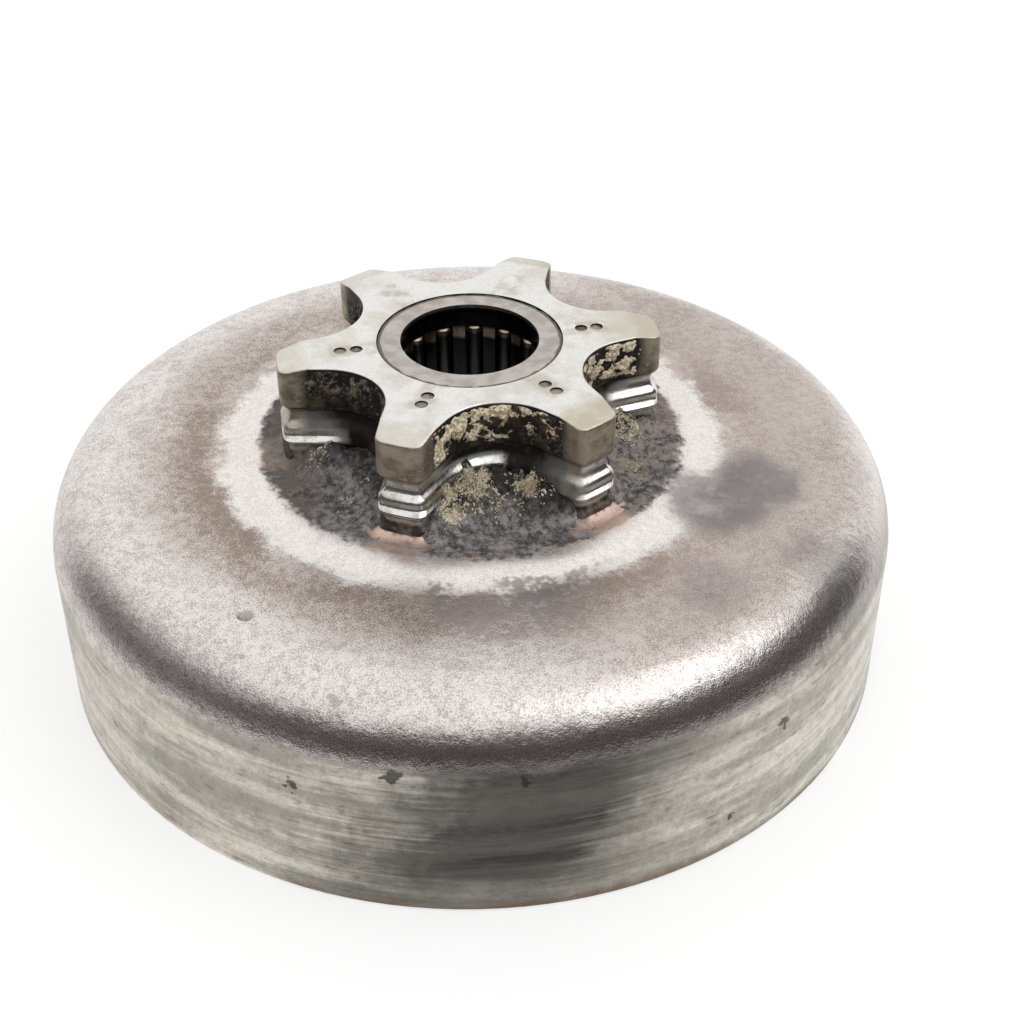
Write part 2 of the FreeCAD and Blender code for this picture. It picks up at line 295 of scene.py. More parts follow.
def floor_finish():
    """A pale matt floor that glows only for the eye, so that it is white but for the shadow."""
    f = Finish("pale_floor")
    matt = f.add("ShaderNodeBsdfDiffuse", {"Color": (*FLOOR_COLOUR, 1.0)})
    glow = f.add("ShaderNodeEmission", {"Strength": f.times(seen_directly(f.tree), FLOOR_GLOW)})
    both = f.add("ShaderNodeAddShader", {0: matt.outputs[0], 1: glow.outputs[0]})
    f.add("ShaderNodeOutputMaterial", {"Surface": both.outputs[0]})
    return f.material


dress(floor, floor_finish())

world = bpy.data.worlds.new("white_tent")
bpy.context.scene.world = world
world.use_nodes = True
sky = world.node_tree.nodes["Background"]
sky.inputs["Color"].default_value = (1.0, 1.0, 1.0, 1.0)
sky_level = world.node_tree.nodes.new("ShaderNodeMapRange")
sky_level.inputs["To Min"].default_value = SKY_LEVEL
sky_level.inputs["To Max"].default_value = 1.0
world.node_tree.links.new(seen_directly(world.node_tree), sky_level.inputs["Value"])
world.node_tree.links.new(sky_level.outputs["Result"], sky.inputs["Strength"])
print("floor", FLOOR_SIZE, "m, sky", SKY_LEVEL)

# %% [markdown]
# Polished metal shows what is around it, and in an all white room it would look like chalk.
# A dark curtain stands around the side where the viewer is. The camera can't see it, but the
# steel can, and it draws the dark line along the drum's shoulder. It is the front part of an
# open cylinder. One large soft lamp at the right adds the bright patch on the shoulder.

# %% Dark curtain and lamp
CURTAIN_RADIUS = 0.115
CURTAIN_HEIGHT = 0.079
CURTAIN_REACH = -0.03
CURTAIN_SIDES = 96
CURTAIN_CLOTH = (0.107, 0.098, 0.093)
LAMP_SIZE = 0.4
LAMP_POWER = 0.5
LAMP_PLACE = Vector((0.305, -0.2, 0.48))

bpy.ops.mesh.primitive_cylinder_add(
    vertices=CURTAIN_SIDES, radius=CURTAIN_RADIUS, depth=CURTAIN_HEIGHT,
    end_fill_type="NOTHING", location=(0, 0, CURTAIN_HEIGHT / 2),
)
curtain = bpy.context.object
curtain.name = "dark_curtain"
bpy.ops.object.transform_apply(location=True)
delete_points(curtain, lambda place: place.dot(forwards) < CURTAIN_REACH)
curtain.visible_camera = False
curtain.visible_diffuse = False
curtain.visible_shadow = False
curtain_cloth = Finish("dark_cloth")
dress(curtain, curtain_cloth.surface(base_color=CURTAIN_CLOTH, roughness=0.9))

bpy.ops.object.light_add(type="AREA", location=LAMP_PLACE)
lamp = bpy.context.object
lamp.name = "soft_lamp"
lamp.data.size = LAMP_SIZE
lamp.data.energy = LAMP_POWER
lamp.rotation_euler = (-LAMP_PLACE).to_track_quat("-Z", "Y").to_euler()
print("curtain with", len(curtain.data.polygons), "faces, lamp of", LAMP_POWER, "W")

# %% [markdown]
# The drum is mild steel. Heat and weather have left a purplish brown oxide on its face, while
# the raised ring and the shoulder are rubbed bright. Towards the crest the silver is partly a
# painted highlight, and a band low on the shoulder is a painted dark reflection. One material
# holds all of it: masks made
# from the distance to the axis and the height pick the zone, and noise frays their edges. A
# very fine grain lies over everything, as on sheet that was rolled, pickled and then rusted.

# %% Drum colours and zones
# Partly a painted highlight: the silver that the face takes on towards the crest.
SILVER_AND_HIGHLIGHT = (0.86, 0.815, 0.79)
RING_SILVER = (0.92, 0.885, 0.85)
PALE_BROWN = (0.63, 0.56, 0.52)
BROWN = (0.30, 0.235, 0.195)
RIGHT_BROWN = (0.56, 0.49, 0.45)
# Painted dark reflection: the colour of the band low on the shoulder.
BEND_DARK_REFLECTION = (0.2, 0.178, 0.168)
SMUDGE = (0.2, 0.182, 0.184)
FRONT_SMUDGE = (0.39, 0.342, 0.337)
PIT_DIRT = (0.035, 0.03, 0.026)
RING_INNER = 20.2
RING_OUTER = 24.3
CREST = 34.0
FACE_STAINS = (
    (25.9, 325, 21.4, 6.0, 6.0, 1.0),
    (27.4, 334, 21.4, 5.5, 6.0, 1.0),
    (37.0, 318, 21.0, 5.5, 9.0, 0.6),
    (31.5, 301, 21.3, 4.5, 7.0, 0.5),
)
SILVER_RUN = polar(23.0, 262.5, 21.5)


def face_tarnish(f, cloud, mottle, speck, grain):
    """Where the face is brown, in fine grains outside the bright ring, and its right side."""
    side = f.along(rightwards)
    reach = f.shaken(f.shaken(f.radius, cloud, 8.0), mottle, 3.0)
    ring_side = f.times(
        f.rise(reach, RING_OUTER - 1.6, RING_OUTER + 2.6), f.rise(reach, CREST + 0.4, RING_OUTER + 0.3)
    )
    right_side = f.times(f.rise(side, 2.0, 20.0), f.band(reach, RING_OUTER + 0.3, 37.5, 2.4))
    worn = f.rise(cloud, 0.34, 0.6, 0.6, 1.0)
    share = f.times(f.either(ring_side, f.times(right_side, 0.55)), worn)
    grains = f.shaken(f.shaken(share, grain, 1.5), speck, 0.7)
    return f.times(f.rise(grains, 0.2, 0.95), f.rise(share, 0.0, 0.12)), right_side


def face_smudges(f, cloud, mottle, speck):
    """Dark stains: a long one in front of the ring, sharp towards it, and softer ones at the right."""
    side = f.shaken(f.shaken(f.along(rightwards), mottle, 9.0), speck, 2.5)
    reach = f.shaken(f.shaken(f.shaken(f.radius, mottle, 4.0), cloud, 2.0), speck, 1.2)
    front = f.times(
        f.rise(f.along(forwards), 10.0, 14.0), f.rise(reach, 22.5, 23.1), f.rise(reach, 33.0, 27.0),
        f.rise(side, -3.0, -1.2), f.rise(side, 14.0, 8.0),
    )
    drip = f.spot(SILVER_RUN, 2.4, mottle, 3.0)
    flecks = f.rise(f.shaken(mottle, speck, 0.9), 0.36, 0.6, 0.12, 0.9)
    frayed = f.shaken(f.shaken(cloud, mottle, 0.9), speck, 0.4)
    right = f.either(*(
        f.times(f.spot(polar(far, turn, height), size, frayed, fray), strength)
        for far, turn, height, size, fray, strength in FACE_STAINS
    ))
    return f.times(front, f.less(drip), flecks), f.times(right, f.rise(mottle, 0.3, 0.7, 0.6, 0.85))


print("face zones from", RING_INNER, "to", round(DRUM_RADIUS, 1), "mm")

# %% [markdown]
# Around the sprocket lies a film of oil and sawdust, and the outer wall has been rubbed by the
# brake band. Both could be painted by hand. Here noise does it, because noise wraps around
# the part without a seam. For the wall it is squeezed in height, so that it makes streaks.

# %% Drum grime and wall
DIRT_SHINE = 0.2
GRIME_DARK = (0.07, 0.064, 0.064)
GRIME_GREY = (0.37, 0.35, 0.35)
GRIME_BROWN = (0.17, 0.14, 0.118)
SMEAR_BROWN = (0.34, 0.285, 0.235)
COPPER = (0.74, 0.55, 0.465)
RUST = (0.17, 0.095, 0.05)
WALL_PALE = (0.76, 0.72, 0.63)
WALL_TAN = (0.76, 0.685, 0.6)
WALL_OLIVE = (0.38, 0.36, 0.31)
WALL_DARK = (0.05, 0.047, 0.042)
WALL_PITS = (
    (301.5, 11.9, 0.7), (293.9, 4.0, 0.65), (266.3, 15.6, 0.75), (251.2, 15.6, 0.9), (239, 12.5, 0.65)
)
RUST_SPOTS = ((20.0, 259), (20.3, 284), (19.9, 288))


def boss_grime(f, cloud, mottle, speck):
    """The film of oil and dust on the raised middle, with a ragged outer edge."""
    edge = f.shaken(f.shaken(f.radius, mottle, 2.4), speck, 1.2)
    film = f.rise(edge, RING_INNER + 0.6, RING_INNER - 0.3)
    return f.times(film, f.rise(cloud, 0.27, 0.4, 0.8, 1.0))


def grime_colour(f, mottle, speck, grain):
    """Grey black in front, brown at the left, smeared and paler at the right."""
    side = f.along(rightwards)
    clods = f.shaken(f.shaken(speck, mottle, 0.6), grain, 0.7)
    colour = f.mix(f.rise(clods, 0.25, 0.8), GRIME_DARK, GRIME_GREY)
    colour = f.mix(f.times(f.rise(side, -11.0, -17.0), f.rise(mottle, 0.3, 0.6)), colour, GRIME_BROWN)
    smeared = f.times(f.rise(side, 8.0, 14.0), f.rise(f.shaken(mottle, clods, 0.8), 0.35, 0.75))
    colour = f.mix(f.times(smeared, 0.85), colour, SMEAR_BROWN)
    colour = f.mix(f.times(f.rise(grain, 0.52, 0.74), 0.35), colour, SMEAR_BROWN)
    spots = (f.spot(polar(far, turn, BOSS_HEIGHT), 0.8, mottle, 1.6) for far, turn in RUST_SPOTS)
    return f.mix(f.times(f.either(*spots), 0.8), colour, RUST)


def wall_colour(f, mottle, speck):
    """Soft bands that run around the wall, where the brake rubs, with one dark stain in front, a
    painted dark reflection on the front face and a darker back.
    """
    streak = f.noise(17.0, detail=2.0, rough=0.5, stretch=(1, 1, 0.13), shift=3.1)
    lines = f.noise(10.0, detail=3.0, rough=0.65, stretch=(1, 1, 0.045), shift=7.7)
    dashes = f.noise(2.0, detail=2.0, rough=0.6, stretch=(1, 1, 0.3), shift=1.2)
    rubbed = f.shaken(f.shaken(f.shaken(streak, lines, 0.36), dashes, 0.22), speck, 0.14)
    side = f.along(rightwards)
    pale = f.mix(f.rise(side, -12.0, -30.0), WALL_PALE, WALL_TAN)
    depth = f.along(forwards)
    # Painted dark reflection: the wall that faces the viewer is made a little darker; towards the back
    # the wall is darker and more olive too.
    shade = f.either(f.rise(depth, 26.0, 40.0, 0.0, 0.12), f.rise(depth, 0.0, -24.0, 0.0, 0.2))
    colour = f.mix(f.rise(f.plus(rubbed, shade), 0.32, 0.74), pale, WALL_OLIVE)
    colour = f.mix(f.times(f.rise(dashes, 0.62, 0.74), 0.4), colour, WALL_DARK)
    frayed = f.shaken(f.shaken(f.plus(side, f.times(f.z, -0.5)), lines, 12.0), mottle, 9.0)
    stain = f.times(
        f.rise(frayed, -20.0, -4.0), f.rise(frayed, 16.0, 4.0), f.rise(depth, 5.0, 12.0),
        f.rise(rubbed, 0.3, 0.7, 1.0, 0.8), f.rise(f.shaken(f.z, streak, 10.0), 0.0, 5.0, 0.65, 1.0),
    )
    colour = f.mix(stain, colour, WALL_DARK)
    ragged = f.shaken(f.shaken(speck, dashes, 0.8), mottle, 0.5)
    pits = (
        f.spot(polar(DRUM_RADIUS, turn, height), size, ragged, 2.2) for turn, height, size in WALL_PITS
    )
    colour = f.mix(f.times(f.either(*pits), 0.85), colour, PIT_DIRT)
    rust = f.times(f.rise(f.shaken(f.z, mottle, 3.0), 1.6, 0.2), f.rise(streak, 0.42, 0.6))
    return f.mix(f.times(rust, 0.7), colour, RUST)


SHOULDER_CENTRE = Vector((34.05, 0, 14.6))
MID_SHEET = 5.6


def inside_of_drum(f):
    """One on every surface that lies nearer the hollow than the middle of the sheet."""
    past_wall = f.sum("MAXIMUM", f.sum("SUBTRACT", f.radius, SHOULDER_CENTRE.x), 0.0)
    past_face = f.sum("MAXIMUM", f.sum("SUBTRACT", f.z, SHOULDER_CENTRE.z), 0.0)
    squares = f.plus(f.times(past_wall, past_wall), f.times(past_face, past_face))
    return f.rise(squares, MID_SHEET ** 2 + 1.0, MID_SHEET ** 2 - 1.0)


print("wall pits:", len(WALL_PITS))

# %% [markdown]
# Now the zones come together, from the face outwards and then in. Each line lays one more
# colour over the last, as a painter would, and the same masks then set how rough and how
# metallic the surface is. The inside was rubbed bright low down, where the clutch shoes
# press, and is dull above. The sheet's middle tells inside from outside.

# %% Drum finish
BEND_TOP = 18.8
BEND_FOOT = 16.8
WALL_TOP = 16.3
DENT = polar(32.7, 224.7, 21.3)
LARGE_CHIP = polar(38.0, 243.4, 20.4)
SMALL_CHIP = polar(36.6, 229.3, 20.8)
SHOE_TRACK = (0.5, 0.48, 0.45)
SHOE_TRACK_DARK = (0.25, 0.23, 0.21)
TRACK_TOP = 13.0


def shared_noises(f):
    """Grain, specks and mottle, the same on the drum, braze and banks, so that their patterns meet."""
    grain = f.noise(0.14, detail=1.0, rough=0.6)
    speck = f.noise(0.7, detail=1.0, rough=0.6, shift=5.0)
    mottle = f.noise(2.4, detail=3.0, rough=0.62, shift=1.7)
    return grain, speck, mottle


def face_colour(f, cloud, mottle, speck, grain, salt):
    """Silver towards the shoulder, partly a painted highlight, and on the ring, brown and smudged
    between them, with a painted dark reflection low on the shoulder.
    """
    tarnish, right_side = face_tarnish(f, cloud, mottle, speck, grain)
    front, smudge = face_smudges(f, cloud, mottle, speck)
    # Painted highlight, in part: towards the crest the face goes to a bright silver.
    towards_crest_highlight = f.rise(f.shaken(f.radius, cloud, 9.0), CREST - 5.5, CREST + 0.5)
    face = f.mix(towards_crest_highlight, PALE_BROWN, SILVER_AND_HIGHLIGHT)
    face = f.mix(f.times(right_side, 0.85), face, RIGHT_BROWN)
    browned = f.times(tarnish, f.blend(right_side, 1.0, 0.7), f.less(f.times(front, 0.7)))
    face = f.mix(browned, face, BROWN)
    ring_edge = f.shaken(f.shaken(f.radius, mottle, 3.4), speck, 1.2)
    ring = f.band(ring_edge, RING_INNER, RING_OUTER, 0.8)
    face = f.mix(f.times(ring, f.less(f.either(front, smudge)), 0.9), face, RING_SILVER)
    face = f.mix(f.times(salt, f.blend(ring, f.blend(right_side, 0.6, 0.3), 0.3)), face, BROWN)
    # Painted dark reflection: a band low on the shoulder is darkened, more at the left, deepening the
    # line the dark curtain draws.
    reflection_band_edge = f.shaken(f.shaken(f.shaken(f.z, mottle, 1.6), grain, 2.0), speck, 1.2)
    painted_reflection_band = f.rise(reflection_band_edge, BEND_TOP, BEND_FOOT)
    leftish = f.rise(f.along(rightwards), -18.0, 0.0, 0.04, 0.55)
    face = f.mix(f.times(painted_reflection_band, leftish, f.rise(f.z, 17.6, 16.0, 1.0, 1.5)), face, BEND_DARK_REFLECTION)
    face = f.mix(front, face, FRONT_SMUDGE)
    face = f.mix(smudge, face, SMUDGE)
    # The dent is made darker inside, and the chips are darker marks.
    dent = f.spot(DENT, 0.95)
    chips = f.either(f.spot(LARGE_CHIP, 0.8, speck, 1.6), f.spot(SMALL_CHIP, 0.35))
    face = f.mix(f.either(f.times(dent, 0.6), f.times(chips, 0.5)), face, SMUDGE)
    return face, f.either(tarnish, front, smudge)


def hollow_colour(f, salt):
    """The inside: a track rubbed by the shoes below, dull brown above it."""
    track = f.noise(9.0, detail=3.0, rough=0.65, stretch=(1, 1, 0.03))
    rubbed = f.mix(f.rise(track, 0.35, 0.65), SHOE_TRACK, SHOE_TRACK_DARK)
    colour = f.mix(f.rise(f.z, TRACK_TOP, TRACK_TOP + 2.5), rubbed, SMEAR_BROWN)
    return f.mix(f.times(salt, 0.35), colour, GRIME_BROWN)


def drum_finish():
    """Tarnished face, bright shoulder and stained wall in one material, by place."""
    f = Finish("drum_steel")
    grain, speck, mottle = shared_noises(f)
    cloud = f.noise(9.0, detail=2.0, rough=0.55, shift=9.3)
    salt = f.rise(f.shaken(f.shaken(grain, speck, 0.4), mottle, 0.3), 0.4, 0.66)

    face, stained = face_colour(f, cloud, mottle, speck, grain, salt)
    wall = f.mix(f.times(salt, 0.2), wall_colour(f, mottle, speck), WALL_DARK)
    wall_edge = f.shaken(f.shaken(f.z, mottle, 2.0), grain, 1.5)
    on_wall = f.rise(wall_edge, WALL_TOP + 1.0, WALL_TOP - 1.0)
    outside = f.mix(on_wall, face, wall)

    film = boss_grime(f, cloud, mottle, speck)
    outside = f.mix(film, outside, grime_colour(f, mottle, speck, grain))
    _, beside = f.tooth()
    foot_end = f.shaken(f.shaken(f.radius, mottle, 3.0), speck, 1.0)
    foot_side = f.shaken(f.shaken(beside, mottle, 3.0), speck, 1.0)
    foot = f.times(
        f.rise(foot_end, 21.6, 20.0), f.rise(foot_side, 3.2, 1.4), f.rise(f.radius, 16.8, 17.8)
    )
    shown = f.rise(f.along(forwards), 4.0, 13.0, 0.3, 1.0)
    copper = f.times(foot, f.rise(speck, 0.3, 0.65, 0.95, 0.55), shown)
    outside = f.mix(copper, outside, COPPER)

    inside = inside_of_drum(f)
    colour = f.mix(inside, outside, hollow_colour(f, salt))
    dirt = f.times(film, f.less(copper), f.less(inside))
    shoulder = f.rise(f.radius, CREST, CREST + 3.0)
    worn_smooth = f.rise(f.along(rightwards), -26.0, -8.0, 0.4, 0.28)
    roughness = f.blend(stained, f.blend(shoulder, 0.34, worn_smooth), 0.4)
    roughness = f.blend(on_wall, roughness, f.rise(mottle, 0.35, 0.65, 0.3, 0.42))
    roughness = f.blend(dirt, roughness, 0.7)
    relief = f.bump(grain, 0.06, strength=f.blend(dirt, 0.38, 1.0))
    relief = f.bump(speck, 0.08, relief, f.blend(dirt, 0.32, 1.0))
    scuffed = f.times(shoulder, f.rise(f.z, 13.5, 15.5))
    relief = f.bump(mottle, 0.085, relief, scuffed)
    return f.surface(
        base_color=colour, metallic=f.blend(dirt, 1.0, 0.1), roughness=roughness, normal=relief,
        specular_ior_level=DIRT_SHINE,
    )


dress(nodes["drum"], drum_finish())
print("drum has", len(nodes["drum"].data.materials[0].node_tree.nodes), "shader nodes")

# %% [markdown]
# The sprocket is harder steel. Its top face is rubbed silver, the outer bevel is a dull tan,
# and the chain has polished the two grooves and the ridge between them to a mirror near the
# tips. Deeper in the gaps nothing rubs, so oil and wood dust have baked to a black crust.
# Folding the angle about the axis gives each tooth the same coordinates: out along its
# middle line, and beside it.

# %% Sprocket top
TOP_STEEL = (0.86, 0.85, 0.825)
TOP_BEIGE = (0.64, 0.6, 0.53)
BEVEL_TAN = (0.58, 0.53, 0.42)
TIP_TAN = (0.44, 0.385, 0.305)
MARK_DIRT = (0.15, 0.13, 0.11)
BAKED_OIL_AND_SHADE = (0.014, 0.012, 0.011)
OIL_BROWN = (0.07, 0.052, 0.035)
BEVEL_WIDTH = 2.6
BEVEL_START = TIP_RADIUS - BEVEL_WIDTH
MARK_REACH = 12.9
TOP_LEVEL = TOP_HEIGHT - BOSS_HEIGHT


def top_colour(f, cloud, mottle, grain, level, beside):
    """The top: rubbed steel with beige stains, a duller bevel and dirt in the punched marks."""
    bevel = f.rise(f.shaken(f.radius, mottle, 1.8), BEVEL_START - 0.6, BEVEL_START + 0.9)
    face = f.mix(f.rise(f.shaken(cloud, mottle, 0.5), 0.4, 0.7, 0.1, 0.75), TOP_STEEL, TOP_BEIGE)
    face = f.mix(f.times(f.rise(grain, 0.45, 0.7), 0.3), face, BEVEL_TAN)
    stained = f.rise(f.shaken(f.along(rightwards), mottle, 4.0), 0.0, 9.0, 0.5, 1.0)
    side = f.shaken(f.shaken(f.along(rightwards), cloud, 6.0), mottle, 4.0)
    right_top = f.rise(side, 9.5, 15.0, 0.0, 0.7)
    face = f.mix(right_top, face, BEVEL_TAN)
    face = f.mix(f.times(bevel, stained, f.rise(mottle, 0.3, 0.55, 0.6, 1.0)), face, BEVEL_TAN)
    close_to_mark = f.times(f.rise(f.radius, MARK_REACH + 0.5, MARK_REACH), f.rise(beside, 1.5, 0.7))
    below_top = f.rise(level, TOP_LEVEL - 0.01, TOP_LEVEL - 0.1)
    deep = f.times(below_top, f.rise(f.radius, MARK_REACH + 0.6, MARK_REACH + 0.3))
    marks = f.times(deep, f.rise(beside, 1.6, 1.3))
    face = f.mix(f.times(close_to_mark, f.rise(mottle, 0.35, 0.6), 0.5), face, TIP_TAN)
    mark_colour = f.mix(f.rise(mottle, 0.4, 0.6), MARK_DIRT, TIP_TAN)
    return f.mix(marks, face, mark_colour), bevel, marks


print("bevel from", round(BEVEL_START, 2), "to", round(TIP_RADIUS, 2), "mm")

# %% [markdown]
# The sides of the teeth tell how the chain ran. Its links kept the ridge bright near the tips,
# along one flank and deep in the front gap. Other places never touched it and stayed dull.
# Each such place is a soft spot given by distance, angle, level above the drum and size.
# The chain also rolled the ridge's lower edge outwards, which a little relief stands for.

# %% Sprocket finish
POLISHED = (0.80, 0.79, 0.765)
TIP_BROWN = (0.17, 0.14, 0.105)
FOOT_DARK = (0.045, 0.036, 0.032)
RUBBED_LOW = 0.9
RUBBED_HIGH = 5.6
RIDGE_LOW = 2.4
RIDGE_HIGH = 4.7
LEFT_FLANK = (13.4, 250, 3.8, 4.4)
GAP_FLOOR = (11.4, 266, 4.3, 2.4)
RIGHT_FLANK = (13.2, 288, 3.5, 4.6)
RIGHT_FLANK_END = (14.8, 290, 3.5, 4.2)
LEFT_GROOVE = (16.0, 190, 5.0, 6.0)
ROLL_TOP = 3.4
ROLL_FOOT = 1.8
ROLL_DEPTH = 1.35


def worn_spot(f, place, frayed_by, reach):
    """A soft spot on the sprocket's side, by distance, angle, level and size."""
    far, turn, level, size = place
    return f.spot(polar(far, turn, BOSS_HEIGHT + level), size, frayed_by, reach)


def sprocket_polish(f, out, level, top, mottle):
    """Where the chain has polished the side, and how far the dark, unpolished foot reaches up."""
    near_tip = f.rise(f.shaken(out, mottle, 3.0), 12.4, 15.4)
    rubbed = f.times(f.band(level, RUBBED_LOW, RUBBED_HIGH, 0.4), near_tip)
    streak = worn_spot(f, LEFT_FLANK, mottle, 2.5)
    middle = worn_spot(f, GAP_FLOOR, mottle, 2.0)
    dull = worn_spot(f, RIGHT_FLANK, mottle, 2.5)
    flank = f.times(f.rise(f.shaken(out, mottle, 2.6), 11.6, 14.0), f.less(dull))
    glint = f.times(f.band(level, RIDGE_LOW, RIDGE_HIGH, 0.35), f.either(streak, middle, flank))
    foot = f.rise(f.shaken(level, mottle, 0.8), 1.9, 1.1)
    left_dull = f.times(worn_spot(f, LEFT_GROOVE, mottle, 2.0), f.rise(level, 3.5, 4.1), 0.8)
    front_dull = f.times(worn_spot(f, RIGHT_FLANK_END, mottle, 1.5), 0.8)
    unworn = f.either(top, foot, left_dull, front_dull)
    return f.times(f.either(rubbed, glint), f.less(unworn)), foot


def sprocket_finish():
    """Dark oily sides, partly painted shade, polished where the chain ran, under a warm grey top."""
    f = Finish("sprocket_steel")
    out, beside = f.tooth()
    level = f.sum("SUBTRACT", f.z, BOSS_HEIGHT)
    grain = f.noise(0.25, detail=2.0)
    mottle = f.noise(1.6, detail=3.0, rough=0.6)
    cloud = f.noise(5.0, detail=3.0, shift=4.4)
    wipe = f.noise(2.2, detail=3.0, rough=0.6, stretch=(1, 1, 0.6), shift=2.2)

    top = f.times(f.rise(f.up, 0.45, 0.8), f.rise(level, 9.0, 9.5))
    face, bevel, marks = top_colour(f, cloud, mottle, grain, level, beside)
    polish, foot = sprocket_polish(f, out, level, top, mottle)
    tip = f.rise(f.shaken(out, mottle, 1.4), 15.4, 17.0)
    # The sides are near-black: baked oil, and painted shade deep in the gaps.
    side = f.mix(f.rise(f.shaken(mottle, cloud, 0.6), 0.46, 0.72), BAKED_OIL_AND_SHADE, OIL_BROWN)
    tip_side = f.mix(f.rise(f.shaken(wipe, mottle, 0.5), 0.38, 0.74), TIP_TAN, TIP_BROWN)
    wiped = f.times(f.rise(f.shaken(wipe, grain, 0.4), 0.56, 0.74), 0.6)
    tip_side = f.mix(wiped, tip_side, TOP_BEIGE)
    # Towards the foot of each tooth the side is made darker.
    tip_side = f.mix(foot, tip_side, f.mix(f.rise(mottle, 0.4, 0.6), FOOT_DARK, TIP_BROWN))
    side = f.mix(tip, side, tip_side)
    side = f.mix(polish, side, f.mix(f.times(f.rise(mottle, 0.46, 0.66), 0.7), POLISHED, TIP_TAN))
    colour = f.mix(top, side, face)

    metal = f.times(f.either(top, polish, f.times(tip, f.blend(foot, 0.85, 0.4))), f.less(marks))
    roughness = f.blend(metal, 0.5, f.blend(polish, 0.38, f.rise(mottle, 0.35, 0.65, 0.14, 0.3)))
    roughness = f.blend(top, roughness, f.blend(bevel, 0.3, 0.42))
    roll = f.bump(f.rise(level, ROLL_TOP, ROLL_FOOT), ROLL_DEPTH, strength=polish)
    relief = f.bump(mottle, 0.2, roll, f.blend(metal, 1.0, 0.2))
    relief = f.bump(grain, 0.06, relief, f.blend(metal, 1.0, 0.14))
    return f.surface(
        base_color=colour, metallic=metal, roughness=roughness, normal=relief,
        specular_ior_level=DIRT_SHINE,
    )


dress(nodes["sprocket"], sprocket_finish())
print("sprocket has", len(nodes["sprocket"].data.materials[0].node_tree.nodes), "shader nodes")

# %% [markdown]
# Copper was melted into the joint between sprocket and drum. Only the feet of the teeth still
# show it, pink and a little rough. In the gaps the same fillet lies under grime, so its
# material goes from copper to grime along the tooth.

# %% Braze finish
COPPER_DARK = (0.5, 0.35, 0.29)


def braze_finish():
    """Copper at the feet of the teeth, darker in the corner against the tooth, grime in the gaps."""
    f = Finish("braze_copper")
    out, _ = f.tooth()
    grain, speck, mottle = shared_noises(f)
    shown = f.rise(f.along(forwards), 4.0, 13.0, 0.15, 1.0)
    # The fillet is made darker in its corner against the tooth, so copper shows only where it runs
    # out.
    corner = f.rise(f.shaken(f.sum("SUBTRACT", f.z, BOSS_HEIGHT), speck, 0.6), 0.3, 0.65)
    bare = f.times(
        f.rise(f.shaken(out, mottle, 2.6), 16.0, 17.8), f.rise(mottle, 0.68, 0.5, 0.3, 1.0),
        shown, f.less(corner),
    )
    grime = f.mix(corner, grime_colour(f, mottle, speck, grain), FOOT_DARK)
    copper = f.mix(f.rise(grain, 0.35, 0.7, 0.0, 0.6), COPPER, COPPER_DARK)
    return f.surface(
        base_color=f.mix(bare, grime, copper), metallic=bare, roughness=f.blend(bare, 0.7, 0.4),
        normal=f.bump(grain, 0.04), specular_ior_level=DIRT_SHINE,
    )


dress(nodes["braze_fillet"], braze_finish())
print("braze has", len(nodes["braze_fillet"].data.materials[0].node_tree.nodes), "shader nodes")

# %% [markdown]
# The needle bearing is the cleanest piece. Its drawn cup shows as a grey ring with a dark seam
# of oil around it. The bore below is painted nearly black: its steel is darkened as painted
# shade of the deep hole, over the grease. Only the upper ends of the needles and of the cage
# catch the light, as a painted highlight a little brown with old grease.

# %% Bearing finishes
CUP_GREY = (0.54, 0.5, 0.465)
CUP_BROWN = (0.42, 0.375, 0.34)
GREASE = (0.012, 0.01, 0.009)
# Painted shade: cage and needle steel are made dark for the deep bore; their ends are painted
# highlights.
CAGE_STEEL_IN_SHADE = (0.03, 0.029, 0.03)
CAGE_END_HIGHLIGHT = (0.5, 0.4, 0.3)
NEEDLE_STEEL_IN_SHADE = (0.085, 0.08, 0.078)
NEEDLE_END_HIGHLIGHT = (0.42, 0.36, 0.3)


def cup_finish():
    """Grey drawn steel, with grease on the inside."""
    f = Finish("bearing_steel")
    mottle = f.noise(1.5, detail=3.0)
    grain = f.noise(0.3, detail=2.0)
    face = f.mix(f.rise(mottle, 0.38, 0.66), CUP_GREY, CUP_BROWN)
    seam = f.rise(f.shaken(f.radius, mottle, 0.15), CUP_RADIUS - 0.3, CUP_RADIUS - 0.08)
    face = f.mix(f.times(seam, 0.8), face, OIL_BROWN)
    below = f.rise(f.z, TOP_HEIGHT - 0.15, TOP_HEIGHT - 0.5)
    within = f.times(below, f.rise(f.radius, CUP_RADIUS - 0.5, CUP_RADIUS - 0.9))
    return f.surface(
        base_color=f.mix(within, face, GREASE), metallic=1.0,
        roughness=f.rise(mottle, 0.3, 0.7, 0.28, 0.4), normal=f.bump(grain, 0.008),
    )


def shaded_greased_finish(name, steel_in_shade, highlight_colour, end_low, end_high):
    """Steel under black grease, painted dark as shade of the bore, with a painted highlight between
    two depths below the top.
    """
    f = Finish(name)
    smear = f.noise(1.4, detail=2.0, stretch=(1, 1, 3))
    # Painted highlight on the ends near the top; below it, painted shade and grease.
    lit_top_end = f.band(f.shaken(f.z, smear, 1.2), TOP_HEIGHT - end_low, TOP_HEIGHT - end_high, 0.25)
    colour = f.mix(f.times(smear, 0.6), steel_in_shade, GREASE)
    return f.surface(
        base_color=f.mix(lit_top_end, colour, highlight_colour), metallic=1.0,
        roughness=f.rise(smear, 0.3, 0.7, 0.2, 0.38),
    )


